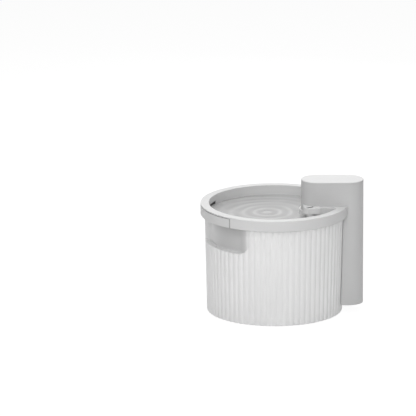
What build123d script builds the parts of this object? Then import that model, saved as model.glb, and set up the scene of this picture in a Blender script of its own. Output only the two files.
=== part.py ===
from build123d import *
from math import ceil, cos, degrees, hypot, radians, sin, sqrt, tan
import os

# A pet water fountain: a fluted tank, a drinking tray that lifts off it, and a tower docked over the
# tank's wall that drives the pump through the wall by a magnet.
# Millimetres.  Z is up.  The origin is on the tank's axis, at the level of the surface it stands on.
# +X points from the tank's axis to the tower.  Angles are in degrees from +X, counter-clockwise.

os.makedirs("parts", exist_ok=True)

# ---------------------------------------------------------------- driving dimensions
# Tank
foot_lift = 1.0
tank_height = 183.0
tank_base_radius = 113.8
tank_draft_angle = 1.44
tank_wall = 2.5
tank_floor = 3.0
flute_count = 72
flute_depth = 0.7
flute_phase_angle = 2.0
groove_angle = 2.7
groove_shoulder = 0.3

# Rubber feet
foot_count = 4
foot_radius = 9.0
foot_inset = 25.8
foot_pocket = 1.5
foot_edge = 0.5

# Finger recess in the tank, and the lift tab above it
grip_angle = 211.0
grip_depth = 9.0
grip_drop = 45.5
grip_floor_angle = 28.0
grip_mouth_angle = 40.0
grip_corner = 10.0
grip_floor_corner = 2.2
grip_lip = 1.2
tab_length = 90.8
tab_side_gap = 0.5
tab_top_gap = 1.2
tab_pin_radius = 0.8
tab_pin_half = 11.0
tab_pin_inset = 1.2
tab_pin_drop = 0.75
tab_barrel = 2.0
tab_arm_width = 3.6
spring_half = 3.0
spring_wire = 0.28
spring_pitch = 1.0

# Drinking tray
rim_overhang = 6.6
rim_band = 14.0
rim_band_thickness = 2.0
skirt_wall = 3.0
skirt_height = 18.3
rim_outer_edge = 0.8
rim_inner_edge = 1.5
skirt_edge = 0.6
bowl_depth = 22.5
bowl_wall = 2.2
bowl_floor = 2.5
bowl_corner = 6.0
drain_start_angle = 152.0
drain_end_angle = 176.0
drain_height = 6.1
drain_sill = 5.8
strainer_thickness = 1.0
strainer_margin = 1.5
strainer_overlap_angle = 1.0
strainer_hole_angle = 1.1
strainer_pitch_angle = 2.0
ledge_width = 11.0

# Spout block
spout_set = 3.7
spout_length = 28.0
spout_front = 41.5
spout_bottom = 10.0
spout_rise = 0.6
spout_corner = 9.0
spout_slot = 4.6
spout_edge = 0.8
outlet_reach = 5.0
outlet_rise = 3.6
outlet_sag = 0.6

# Tower
tower_length = 105.0
tower_width = 52.4
tower_overhang = 24.3
tower_clearance = 12.0
tower_rise = 41.0
tower_wall = 2.2
head_drop = 28.0
cap_thickness = 1.6
cap_seam = 0.5
cap_plug = 4.0
cap_plug_wall = 1.5
cap_edge = 1.0
seal_inset = 0.8

# Pump and drive
pump_height = 36.0
pump_radius = 17.5
pump_length = 13.0
pump_bore = 14.0
pump_back_wall = 1.5
seal_width = 1.3
seal_depth = 0.8
shaft_socket = 1.0
inlet_count = 6
inlet_circle = 8.4
inlet_radius = 2.2
cover_thickness = 2.5
impeller_radius = 12.5
vane_count = 6
vane_thickness = 1.6
vane_gap = 1.0
carrier_length = 3.0
carrier_gap = 0.6
hub_radius = 3.6
magnet_length = 2.2
magnet_rim = 1.5
shaft_radius = 1.0
nozzle_radius = 5.5
nozzle_bore = 4.0
nozzle_height = 26.0
sponge_length = 10.0
cradle_cheek = 2.5
cradle_cover = 9.6
cradle_arch = 8.0
riser_wall = 1.1
riser_bend = 18.0
riser_seat = 10.0
riser_straight = 20.0
riser_rise = 40.0
riser_end_gap = 4.0
grommet_wall = 0.55
grommet_height = 8.0
socket_wall = 1.9
socket_reach = 6.0
socket_shift = 2.0
drive_magnet_radius = 12.0
drive_magnet_length = 4.0
motor_radius = 12.0
motor_length = 15.6

# Filter
filter_start_angle = 132.0
filter_end_angle = 170.0
filter_depth = 46.5
filter_height = 48.0
filter_wall = 1.8
filter_travel = 40.0
peg_radius = 2.0
peg_length = 12.0
peg_inset_angle = 6.0
peg_seat = 3.0
layer_gap = 0.3
cotton_height = 10.0
cotton_drop = 4.0
filter_slots = 7
filter_slot_angle = 2.4
filter_slot_margin = 6.0

motor_edge = 1.0
motor_boss_radius = 3.2
motor_screw_reach = 8.0
motor_screw_radius = 0.8
motor_screw_length = 4.0
motor_head_radius = 1.6
motor_head_depth = 0.8
bracket_thickness = 1.6
bracket_gap = 0.6
bracket_ring_wall = 1.8
bracket_ring_length = 9.0
rail_thickness = 1.2
rail_proud = 2.0

# Base cover and its screws
base_thickness = 2.2
boss_radius = 3.2
boss_height = 8.0
boss_inset = 2.2
base_screw_count = 3
screw_radius = 1.1
screw_length = 9.0
head_radius = 2.2
head_depth = 1.2
cross_length = 2.4
cross_width = 0.5
cross_depth = 0.6

# Battery
cell_radius = 9.2
cell_length = 65.0
cell_base = 70.0
cell_gap = 0.6
cell_end_radius = 3.2
cell_end_height = 1.2
holder_shelf = 3.0
holder_height = 45.5
ledge_proud = 1.6
ledge_height = 3.0

# Control board, button and lens
board_length = 50.0
board_height = 28.0
board_thickness = 1.6
board_drop = 4.9
board_rise = 4.0
post_radius = 2.5
post_inset = 5.0
board_screw_radius = 0.9
board_screw_depth = 4.0
board_screw_tip = 0.2
board_screw_head = 1.8
chip_height = 1.8
chips = ((-10.0, -3.0, 9.0, 9.0), (7.5, 5.6, 6.0, 4.0), (17.5, -8.4, 5.0, 5.0), (5.0, -8.4, 12.0, 3.4))
button_radius = 6.0
button_travel = 0.8
button_proud = 0.6
button_flange = 1.2
button_flange_thickness = 0.8
button_edge = 0.4
button_shift = 6.0
switch_size = 6.0
switch_stem_radius = 1.6
switch_stem_length = 0.7
lens_radius = 1.6
lens_flange = 1.0
lens_flange_thickness = 1.2
lens_proud = 0.2
lens_spacing = 14.0

# Charging port and its cover
port_height = 56.0
port_width = 3.3
port_length = 9.0
port_shell = 0.35
port_flange_margin = 0.8
port_flange_thickness = 2.0
port_tongue = 0.7
port_tongue_set = 0.8
port_inset = 3.6
pad_depth = 2.5
pad_margin = 1.0
pad_overlap = 3.0
flap_width = 7.0
flap_length = 15.0
flap_thickness = 1.1
flap_barrel = 0.9
flap_gap = 0.2
flap_pin_radius = 0.4
flap_pin_seat = 0.6

# Clearances
rim_gap = 0.8
dock_gap = 0.5
slip_gap = 0.3
fit_gap = 0.05

# ---------------------------------------------------------------- levels and places
tank_bottom = foot_lift
tank_top = tank_bottom + tank_height
floor_top = tank_bottom + tank_floor
rim_top = tank_top + rim_band_thickness
skirt_bottom = rim_top - skirt_height
rim_radius = tank_base_radius + tank_height * tan(radians(tank_draft_angle)) + rim_overhang
bowl_floor_top = rim_top - bowl_depth
bowl_under = bowl_floor_top - bowl_floor
bowl_radius = rim_radius - rim_band
bowl_outer = bowl_radius + bowl_wall
skirt_inner = rim_radius - skirt_wall

tower_far = rim_radius + tower_overhang
tower_x = tower_far - tower_length / 2
tower_half = tower_width / 2
tower_end_x = tower_far - tower_half
spout_left = tower_far - tower_length + spout_set
ledge_start = spout_left + spout_length
tower_bottom = tank_bottom + tower_clearance
tower_top = rim_top + tower_rise
housing_top = tower_top - cap_thickness - cap_seam
head_bottom = rim_top - head_drop
inner_length = tower_length - 2 * tower_wall
inner_width = tower_width - 2 * tower_wall
inner_half = inner_width / 2

foot_circle = tank_base_radius - foot_inset
notch_half = tower_half + rim_gap
ledge_front = notch_half + ledge_width
collar_top = rim_top - spout_bottom

over = 2.0


def polar(radius, angle):
    """The point at a radius and an angle about the tank's axis."""
    return (radius * cos(radians(angle)), radius * sin(radians(angle)))


def tank_radius(z):
    """The tank's outer radius over the flutes' crests at a height."""
    return tank_base_radius + (z - tank_bottom) * tan(radians(tank_draft_angle))


def tank_inner(z):
    """The radius of the tank's inside at a height."""
    return tank_radius(z) - tank_wall


def sector(inner, outer, start, end):
    """A piece of a ring between two radii and two angles."""
    middle = (start + end) / 2
    with BuildSketch() as piece:
        with BuildLine():
            ThreePointArc(polar(outer, start), polar(outer, middle), polar(outer, end))
            Line(polar(outer, end), polar(inner, end))
            ThreePointArc(polar(inner, end), polar(inner, middle), polar(inner, start))
            Line(polar(inner, start), polar(outer, start))
        make_face()
    return piece.sketch


def fluted_outline(radius):
    """The closed outline of the fluted wall, with its crests at a radius."""
    pitch = 360 / flute_count
    groove_half = groove_angle / 2
    edge = radius - groove_shoulder
    with BuildSketch() as outline:
        with BuildLine():
            for flute in range(flute_count):
                centre = flute_phase_angle + flute * pitch
                ThreePointArc(
                    polar(edge, centre - groove_half),
                    polar(radius - flute_depth, centre),
                    polar(edge, centre + groove_half),
                )
                ThreePointArc(
                    polar(edge, centre + groove_half),
                    polar(radius, centre + pitch / 2),
                    polar(edge, centre + pitch - groove_half),
                )
        make_face()
    return outline.sketch


def foot_outline(radius):
    """Circles of one radius on the feet: a ring of them, and one in the middle."""
    with BuildSketch() as circles:
        Circle(radius)
        with PolarLocations(foot_circle, foot_count, start_angle=180 / foot_count):
            Circle(radius)
    return circles.sketch


def grip_outline(growth):
    """The finger recess seen from above, grown by an amount on every side."""
    floor_radius = tank_radius(skirt_bottom) - grip_depth
    mouth_radius = tank_radius(tank_top) + grip_corner
    low = grip_angle - grip_floor_angle
    high = grip_angle + grip_floor_angle
    with BuildSketch() as outline:
        with BuildLine():
            ThreePointArc(
                polar(floor_radius, low), polar(floor_radius, grip_angle), polar(floor_radius, high)
            )
            Line(polar(floor_radius, high), polar(mouth_radius, grip_angle + grip_mouth_angle))
            ThreePointArc(
                polar(mouth_radius, grip_angle + grip_mouth_angle),
                polar(mouth_radius, grip_angle),
                polar(mouth_radius, grip_angle - grip_mouth_angle),
            )
            Line(polar(mouth_radius, grip_angle - grip_mouth_angle), polar(floor_radius, low))
        make_face()
        inner_corners = outline.vertices().sort_by(lambda corner: hypot(corner.X, corner.Y))[0:2]
        fillet(inner_corners, radius=grip_corner)
        if growth > 0:
            offset(amount=growth)
    return outline.sketch


filter_top = bowl_under
filter_bottom = filter_top - filter_height
filter_outer = tank_inner(filter_bottom - filter_travel) - 2 * slip_gap
filter_inner = filter_outer - filter_depth

# ---------------------------------------------------------------- tank
grip_bottom = skirt_bottom - grip_drop
grip_wall_top = bowl_under - rim_gap
bowl_room_radius = bowl_outer + strainer_thickness + slip_gap

with BuildPart() as grip_space:
    with BuildSketch(Plane.XY.offset(grip_bottom)):
        add(grip_outline(0))
    extrude(amount=tank_top + over - grip_bottom)
    fillet(grip_space.faces().sort_by(Axis.Z)[0].edges(), radius=grip_floor_corner)

with BuildPart() as grip_shell:
    with BuildSketch(Plane.XY.offset(grip_bottom - tank_wall)):
        add(grip_outline(tank_wall))
    extrude(amount=tank_top + over - grip_bottom + tank_wall)

with BuildPart() as tank_cavity:
    with BuildSketch(Plane.XZ):
        with BuildLine():
            Polyline(
                (0, floor_top),
                (tank_inner(floor_top), floor_top),
                (tank_inner(tank_top + over), tank_top + over),
                (0, tank_top + over),
                close=True,
            )
        make_face()
    revolve(axis=Axis.Z)
    add(grip_shell.part, mode=Mode.SUBTRACT)

with BuildPart() as tank:
    with BuildSketch(Plane.XY.offset(tank_bottom)):
        add(fluted_outline(tank_radius(tank_bottom)))
    with BuildSketch(Plane.XY.offset(tank_top)):
        add(fluted_outline(tank_radius(tank_top)))
    loft(ruled=True)
    add(tank_cavity.part, mode=Mode.SUBTRACT)
    add(grip_space.part, mode=Mode.SUBTRACT)
    # room for the bowl and its strainer where the recess comes further in than they do
    with BuildSketch(Plane.XY.offset(grip_wall_top)):
        add(grip_outline(grip_lip))
        Circle(bowl_room_radius + grip_lip, mode=Mode.INTERSECT)
        Circle(bowl_room_radius)
    extrude(amount=tank_top + over - grip_wall_top, mode=Mode.SUBTRACT)
    with BuildSketch(Plane.XY.offset(tank_bottom)):
        add(foot_outline(foot_radius + fit_gap))
    extrude(amount=foot_pocket, mode=Mode.SUBTRACT)
tank.part.label = "tank"
export_step(tank.part, "parts/tank.step")

with BuildPart() as rubber_feet:
    with BuildSketch():
        add(foot_outline(foot_radius))
    extrude(amount=foot_lift + foot_pocket)
    fillet(rubber_feet.faces().group_by(Axis.Z)[0].edges(), radius=foot_edge)
rubber_feet.part.label = "rubber_feet"
export_step(rubber_feet.part, "parts/rubber_feet.step")

# ---------------------------------------------------------------- pump, inside the tank
# The pump lies along X with its back to the tank's wall.
pump_z = floor_top + pump_height
pump_low = pump_z - pump_radius
pump_back = sqrt(tank_inner(pump_low) ** 2 - pump_radius**2) - slip_gap
pump_front = pump_back - pump_length
cover_front = pump_front - cover_thickness
nozzle_x = (pump_front + pump_back) / 2 - pump_back_wall / 2
nozzle_y = -(pump_bore - nozzle_bore - slip_gap)
nozzle_top = pump_z + nozzle_height
riser_bottom = nozzle_top - riser_seat
seal_inner = (pump_bore + pump_radius - seal_width) / 2
seal_outer = seal_inner + seal_width


def across(x):
    """A plane that faces along +X, level with the pump's axis, at a distance from the tank's axis."""
    return Plane(origin=(x, 0, pump_z), x_dir=(0, 1, 0), z_dir=(1, 0, 0))


with BuildPart() as pump_housing:
    with BuildSketch(across(pump_front)):
        Circle(pump_radius)
    extrude(amount=pump_length)
    with BuildSketch(Plane.XY.offset(pump_z)):
        with Locations((nozzle_x, nozzle_y)):
            Circle(nozzle_radius)
    extrude(amount=nozzle_height)
    with BuildSketch(across(pump_front)):
        Circle(pump_bore)
    extrude(amount=pump_length - pump_back_wall, mode=Mode.SUBTRACT)
    with BuildSketch(Plane.XY.offset(pump_z)):
        with Locations((nozzle_x, nozzle_y)):
            Circle(nozzle_bore - riser_wall)
    extrude(amount=nozzle_height, mode=Mode.SUBTRACT)
    with BuildSketch(Plane.XY.offset(riser_bottom)):
        with Locations((nozzle_x, nozzle_y)):
            Circle(nozzle_bore)
    extrude(amount=riser_seat, mode=Mode.SUBTRACT)
    with BuildSketch(across(pump_back - pump_back_wall)):
        Circle(shaft_radius + fit_gap)
    extrude(amount=shaft_socket, mode=Mode.SUBTRACT)
pump_housing.part.label = "pump_housing"
export_step(pump_housing.part, "parts/pump_housing.step")

with BuildPart() as pump_cover:
    with BuildSketch(across(cover_front)):
        Circle(pump_radius)
    extrude(amount=cover_thickness)
    with BuildSketch(across(cover_front)):
        with PolarLocations(inlet_circle, inlet_count):
            Circle(inlet_radius)
    extrude(amount=cover_thickness, mode=Mode.SUBTRACT)
    with BuildSketch(across(pump_front)):
        Circle(shaft_radius + fit_gap)
    extrude(amount=-shaft_socket, mode=Mode.SUBTRACT)
    with BuildSketch(across(pump_front)):
        Circle(seal_outer)
        Circle(seal_inner, mode=Mode.SUBTRACT)
    extrude(amount=-seal_depth, mode=Mode.SUBTRACT)
pump_cover.part.label = "pump_cover"
export_step(pump_cover.part, "parts/pump_cover.step")

with BuildPart() as pump_seal:
    with BuildSketch(across(pump_front)):
        Circle(seal_outer - fit_gap)
        Circle(seal_inner + fit_gap, mode=Mode.SUBTRACT)
    extrude(amount=-(seal_depth - fit_gap))
pump_seal.part.label = "pump_seal"
export_step(pump_seal.part, "parts/pump_seal.step")

shaft_length = pump_length - pump_back_wall + 2 * shaft_socket - 2 * fit_gap
with BuildPart() as impeller_shaft:
    with BuildSketch(across(pump_front - shaft_socket + fit_gap)):
        Circle(shaft_radius)
    extrude(amount=shaft_length)
impeller_shaft.part.label = "impeller_shaft"
export_step(impeller_shaft.part, "parts/impeller_shaft.step")

vane_root = (shaft_radius + hub_radius) / 2
vane_tip = impeller_radius - fit_gap
magnet_radius = impeller_radius - magnet_rim
impeller_front = pump_front + vane_gap
impeller_back = pump_back - pump_back_wall - carrier_gap
carrier_front = impeller_back - carrier_length

with BuildPart() as impeller:
    with BuildSketch(across(carrier_front)):
        Circle(impeller_radius)
    extrude(amount=carrier_length)
    with BuildSketch(across(impeller_front)):
        Circle(hub_radius)
        with PolarLocations((vane_root + vane_tip) / 2, vane_count):
            Rectangle(vane_tip - vane_root, vane_thickness)
    extrude(amount=carrier_front - impeller_front)
    with BuildSketch(across(impeller_back)):
        Circle(magnet_radius)
        Circle(hub_radius, mode=Mode.SUBTRACT)
    extrude(amount=-magnet_length, mode=Mode.SUBTRACT)
    with BuildSketch(across(impeller_front)):
        Circle(shaft_radius + fit_gap)
    extrude(amount=impeller_back - impeller_front, mode=Mode.SUBTRACT)
impeller.part.label = "impeller"
export_step(impeller.part, "parts/impeller.step")

with BuildPart() as impeller_magnet:
    with BuildSketch(across(impeller_back)):
        Circle(magnet_radius - fit_gap)
        Circle(hub_radius + fit_gap, mode=Mode.SUBTRACT)
    extrude(amount=-(magnet_length - fit_gap))
impeller_magnet.part.label = "impeller_magnet"
export_step(impeller_magnet.part, "parts/impeller_magnet.step")

sponge_front = cover_front - sponge_length
with BuildPart() as inlet_sponge:
    with BuildSketch(across(sponge_front)):
        Circle(pump_radius)
    extrude(amount=sponge_length)
inlet_sponge.part.label = "inlet_sponge"
export_step(inlet_sponge.part, "parts/inlet_sponge.step")

# A saddle on the tank's floor that carries the pump and the sponge.
cradle_half = pump_radius + cradle_cheek
cradle_back = sqrt(tank_inner(floor_top) ** 2 - cradle_half**2) - slip_gap
cradle_top = pump_low + cradle_cover

with BuildPart() as pump_cradle:
    with BuildSketch(Plane.XY.offset(floor_top)):
        with Locations(((sponge_front + cradle_back) / 2, 0)):
            Rectangle(cradle_back - sponge_front, 2 * cradle_half)
    extrude(amount=cradle_top - floor_top)
    with BuildSketch(across(sponge_front - over)):
        Circle(pump_radius + fit_gap)
    extrude(amount=cradle_back - sponge_front + 2 * over, mode=Mode.SUBTRACT)
    with BuildSketch(across(sponge_front - over)):
        with Locations((0, floor_top - pump_z)):
            Rectangle(2 * (cradle_half - cradle_arch), 2 * cradle_arch)
    extrude(amount=cradle_back - sponge_front + 2 * over, mode=Mode.SUBTRACT)
pump_cradle.part.label = "pump_cradle"
export_step(pump_cradle.part, "parts/pump_cradle.step")

# The riser runs from the pump's nozzle to the socket under the spout block.
riser_radius = nozzle_bore - fit_gap
socket_bore = riser_radius + grommet_wall + 2 * fit_gap
socket_radius = socket_bore + socket_wall
socket_x = (spout_left + ledge_start) / 2 - socket_shift
socket_y = -(notch_half + spout_front) / 2
socket_bottom = bowl_under - socket_reach
riser_top = collar_top - riser_end_gap
riser_turn = nozzle_top + riser_straight

with BuildPart() as riser_pipe:
    with BuildLine() as riser_path:
        FilletPolyline(
            (nozzle_x, nozzle_y, riser_bottom),
            (nozzle_x, nozzle_y, riser_turn),
            (socket_x, socket_y, riser_turn + riser_rise),
            (socket_x, socket_y, riser_top),
            radius=riser_bend,
        )
    with BuildSketch(Plane.XY.offset(riser_bottom)):
        with Locations((nozzle_x, nozzle_y)):
            Circle(riser_radius)
            Circle(riser_radius - riser_wall, mode=Mode.SUBTRACT)
    sweep(path=riser_path.line)
riser_pipe.part.label = "riser_pipe"
export_step(riser_pipe.part, "parts/riser_pipe.step")

with BuildPart() as riser_grommet:
    with BuildSketch(Plane.XY.offset(bowl_under)):
        with Locations((socket_x, socket_y)):
            Circle(socket_bore - fit_gap)
            Circle(riser_radius + fit_gap, mode=Mode.SUBTRACT)
    extrude(amount=grommet_height)
riser_grommet.part.label = "riser_grommet"
export_step(riser_grommet.part, "parts/riser_grommet.step")

# ---------------------------------------------------------------- lift tab hinge
# The hinge's axis lies along the tangent at the middle of the grip, inside the skirt.
tab_top = tank_top - tab_top_gap
tab_axis_radius = skirt_inner - tab_pin_inset
tab_axis_z = (tab_top + skirt_bottom) / 2 - tab_pin_drop
knuckle_inner = spring_half + slip_gap
knuckle_outer = tab_pin_half - tab_arm_width - slip_gap
radial = (cos(radians(grip_angle)), sin(radians(grip_angle)), 0)
tangent = (-sin(radians(grip_angle)), cos(radians(grip_angle)), 0)


def tab_outline(inner, outer, length):
    """The part of a ring at the grip that lies between two faces square to the tab's hinge."""
    with BuildSketch() as outline:
        Circle(outer)
        Circle(inner, mode=Mode.SUBTRACT)
        with Locations(polar(outer, grip_angle)):
            Rectangle(outer, length, rotation=grip_angle, mode=Mode.INTERSECT)
    return outline.sketch


def hinge_plane(along):
    """A plane square to the tab's hinge: its X is radial and its Y is up."""
    origin = (
        tab_axis_radius * radial[0] + along * tangent[0],
        tab_axis_radius * radial[1] + along * tangent[1],
        tab_axis_z,
    )
    return Plane(origin=origin, x_dir=radial, z_dir=(-tangent[0], -tangent[1], 0))


def hinge_length(start, end, radius):
    """A round bar about the tab's hinge between two places along it."""
    with BuildPart() as bar:
        with BuildSketch(hinge_plane(end)):
            Circle(radius)
        extrude(amount=end - start)
    return bar.part


# ---------------------------------------------------------------- drinking tray
peg_circle = filter_inner - peg_radius - fit_gap - filter_wall / 2
peg_angles = (filter_start_angle + peg_inset_angle, filter_end_angle - peg_inset_angle)
drain_bottom = bowl_floor_top + drain_sill
outer_corner = bowl_corner + bowl_wall
arm_root = tab_axis_radius - bowl_radius - bowl_wall / 2


def ledge_outline(side, inset):
    """The flat ledge beside the tower, on one side of it, drawn in by an amount on its bowl sides."""
    near = notch_half + inset
    far = ledge_front - inset
    with BuildSketch() as outline:
        with Locations(((ledge_start + inset + rim_radius) / 2, side * (near + far) / 2)):
            Rectangle(rim_radius - ledge_start - inset, far - near)
        Circle(bowl_outer - inset, mode=Mode.INTERSECT)
    return outline.sketch


with BuildPart() as tray_ring:
    with BuildSketch(Plane.XZ) as tray_profile:
        with BuildLine():
            Polyline(
                (0, bowl_under),
                (bowl_outer - outer_corner, bowl_under),
            )
            RadiusArc(
                (bowl_outer - outer_corner, bowl_under),
                (bowl_outer, bowl_under + outer_corner),
                -outer_corner,
            )
            Polyline(
                (bowl_outer, bowl_under + outer_corner),
                (bowl_outer, tank_top),
                (skirt_inner, tank_top),
                (skirt_inner, skirt_bottom),
                (rim_radius, skirt_bottom),
                (rim_radius, rim_top),
                (bowl_radius, rim_top),
                (bowl_radius, bowl_floor_top + bowl_corner),
            )
            RadiusArc(
                (bowl_radius, bowl_floor_top + bowl_corner),
                (bowl_radius - bowl_corner, bowl_floor_top),
                bowl_corner,
            )
            Polyline((bowl_radius - bowl_corner, bowl_floor_top), (0, bowl_floor_top), (0, bowl_under))
        make_face()
        rim_corners = tray_profile.vertices().group_by(Axis.Y)[-1].sort_by(Axis.X)
        fillet(rim_corners[-1], radius=rim_outer_edge)
        fillet(rim_corners[0], radius=rim_inner_edge)
        skirt_corners = tray_profile.vertices().group_by(Axis.X)[-1].sort_by(Axis.Y)
        chamfer(skirt_corners[0], length=skirt_edge)
    revolve(axis=Axis.Z)

with BuildPart() as drinking_tray:
    add(tray_ring.part)
    # collar round the tower, and the ledges beside it
    with BuildSketch(Plane.XY.offset(bowl_under)):
        with Locations((tower_x, 0)):
            SlotOverall(tower_length + 2 * rim_gap + 2 * bowl_wall, 2 * notch_half + 2 * bowl_wall)
        Circle(bowl_outer - bowl_wall / 2, mode=Mode.INTERSECT)
    extrude(amount=collar_top - bowl_under)
    for side in (-1, 1):
        with BuildSketch(Plane.XY.offset(bowl_under)):
            add(ledge_outline(side, 0))
        extrude(amount=rim_top - bowl_under)
        with BuildSketch(Plane.XY.offset(bowl_under)):
            add(ledge_outline(side, bowl_wall))
        extrude(amount=tank_top - bowl_under, mode=Mode.SUBTRACT)
    # socket for the riser, under the spout block
    with BuildSketch(Plane.XY.offset(socket_bottom)):
        with Locations((socket_x, socket_y)):
            Circle(socket_radius)
    extrude(amount=collar_top - socket_bottom)
    with BuildSketch(Plane.XY.offset(socket_bottom)):
        with Locations((socket_x, socket_y)):
            Circle(socket_bore)
    extrude(amount=collar_top - socket_bottom, mode=Mode.SUBTRACT)
    # two pegs that carry the filter case
    with BuildSketch(Plane.XY.offset(bowl_under - peg_length)):
        with Locations(*[polar(peg_circle, angle) for angle in peg_angles]):
            Circle(peg_radius)
    extrude(amount=peg_length)
    # opening for the tower
    with BuildSketch(Plane.XY.offset(socket_bottom - over)):
        with Locations((tower_x, 0)):
            SlotOverall(tower_length + 2 * rim_gap, 2 * notch_half)
    extrude(amount=rim_top + 2 * over - socket_bottom, mode=Mode.SUBTRACT)
    # drain slot in the bowl's wall
    with BuildSketch(Plane.XY.offset(drain_bottom)):
        add(sector(bowl_radius - over, bowl_outer + over, drain_start_angle, drain_end_angle))
    extrude(amount=drain_height, mode=Mode.SUBTRACT)
    # opening for the lift tab in the skirt
    with BuildSketch(Plane.XY.offset(skirt_bottom)):
        add(tab_outline(skirt_inner - over, rim_radius + over, tab_length + 2 * tab_side_gap))
    extrude(amount=tank_top - skirt_bottom, mode=Mode.SUBTRACT)
    # two arms that carry the tab's hinge pin
    for end in (tab_pin_half, -tab_pin_half + tab_arm_width):
        with BuildSketch(hinge_plane(end)):
            with Locations((-arm_root / 2, 0)):
                Rectangle(arm_root, 2 * tab_barrel)
            Circle(tab_barrel)
            Circle(tab_pin_radius + fit_gap, mode=Mode.SUBTRACT)
        extrude(amount=tab_arm_width)
drinking_tray.part.label = "drinking_tray"
export_step(drinking_tray.part, "parts/drinking_tray.step")

with BuildPart() as lift_tab:
    with BuildSketch(Plane.XY.offset(skirt_bottom)):
        add(tab_outline(skirt_inner, rim_radius, tab_length))
    extrude(amount=tab_top - skirt_bottom)
    # room for the arms of the tray behind the panel
    for end in (tab_pin_half + slip_gap, -tab_pin_half + tab_arm_width + slip_gap):
        with BuildSketch(hinge_plane(end)):
            Circle(tab_barrel + slip_gap)
        extrude(amount=tab_arm_width + 2 * slip_gap, mode=Mode.SUBTRACT)
    for start, end in ((knuckle_inner, knuckle_outer), (-knuckle_outer, -knuckle_inner)):
        add(hinge_length(start, end, tab_barrel))
    # the spring's room and the pin's bore
    add(hinge_length(-knuckle_inner, knuckle_inner, tab_barrel + slip_gap), mode=Mode.SUBTRACT)
    add(hinge_length(-tab_pin_half, tab_pin_half, tab_pin_radius + fit_gap), mode=Mode.SUBTRACT)
lift_tab.part.label = "lift_tab"
export_step(lift_tab.part, "parts/lift_tab.step")

with BuildPart() as tab_hinge_pin:
    add(hinge_length(-tab_pin_half, tab_pin_half, tab_pin_radius))
tab_hinge_pin.part.label = "tab_hinge_pin"
export_step(tab_hinge_pin.part, "parts/tab_hinge_pin.step")

spring_radius = (tab_pin_radius + tab_barrel) / 2
with BuildPart() as tab_spring:
    with BuildLine() as spring_path:
        Helix(
            pitch=spring_pitch,
            height=2 * (spring_half - spring_wire),
            radius=spring_radius,
            center=hinge_plane(spring_half - spring_wire).origin,
            direction=hinge_plane(0).z_dir,
        )
    with BuildSketch(Plane(origin=spring_path.line @ 0, z_dir=spring_path.line % 0)):
        Circle(spring_wire)
    sweep(path=spring_path.line, is_frenet=True)
tab_spring.part.label = "tab_spring"
export_step(tab_spring.part, "parts/tab_spring.step")

# ---------------------------------------------------------------- spout block and strainer
with BuildPart() as spout_block:
    with BuildSketch(Plane.XY.offset(collar_top)) as spout_plan:
        with Locations(((spout_left + ledge_start) / 2, -(spout_front + notch_half / 2) / 2)):
            Rectangle(spout_length, spout_front - notch_half / 2)
        corner = spout_plan.vertices().sort_by(lambda spot: spot.X + spot.Y)[0]
        fillet(corner, radius=spout_corner)
        with Locations((tower_x, 0)):
            SlotOverall(tower_length + 2 * rim_gap, 2 * notch_half, mode=Mode.SUBTRACT)
    extrude(amount=rim_top + spout_rise - collar_top)
    fillet(spout_block.faces().sort_by(Axis.Z)[-1].edges(), radius=spout_edge)
    with BuildSketch(Plane.XY.offset(collar_top)):
        with BuildLine() as slot_line:
            ThreePointArc(
                (socket_x + outlet_reach, socket_y + outlet_rise),
                (socket_x, socket_y - outlet_sag),
                (socket_x - outlet_reach, socket_y - outlet_rise),
            )
        SlotArc(arc=slot_line.wire(), height=spout_slot)
    extrude(amount=rim_top + spout_rise + over - collar_top, mode=Mode.SUBTRACT)
spout_block.part.label = "spout_block"
export_step(spout_block.part, "parts/spout_block.step")

strainer_inner = bowl_outer + fit_gap
strainer_outer = strainer_inner + strainer_thickness
hole_count = ceil((drain_end_angle - drain_start_angle) / strainer_pitch_angle)
with BuildPart() as drain_strainer:
    with BuildSketch(Plane.XY.offset(drain_bottom - strainer_margin)):
        add(
            sector(
                strainer_inner,
                strainer_outer,
                drain_start_angle - strainer_overlap_angle,
                drain_end_angle + strainer_overlap_angle,
            )
        )
    extrude(amount=drain_height + 2 * strainer_margin)
    with BuildSketch(Plane.XY.offset(drain_bottom)):
        for hole in range(hole_count):
            middle = drain_start_angle + (hole + 0.5) * (drain_end_angle - drain_start_angle) / hole_count
            add(
                sector(
                    strainer_inner - over,
                    strainer_outer + over,
                    middle - strainer_hole_angle / 2,
                    middle + strainer_hole_angle / 2,
                )
            )
    extrude(amount=drain_height, mode=Mode.SUBTRACT)
drain_strainer.part.label = "drain_strainer"
export_step(drain_strainer.part, "parts/drain_strainer.step")

# ---------------------------------------------------------------- filter, hung under the tray

def filter_layer(gap):
    """The outline of a layer inside the filter case."""
    inset = filter_wall + gap
    inset_angle = degrees(inset / filter_inner)
    start = filter_start_angle + inset_angle
    end = filter_end_angle - inset_angle
    return sector(filter_inner + inset, filter_outer - inset, start, end)


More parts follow.
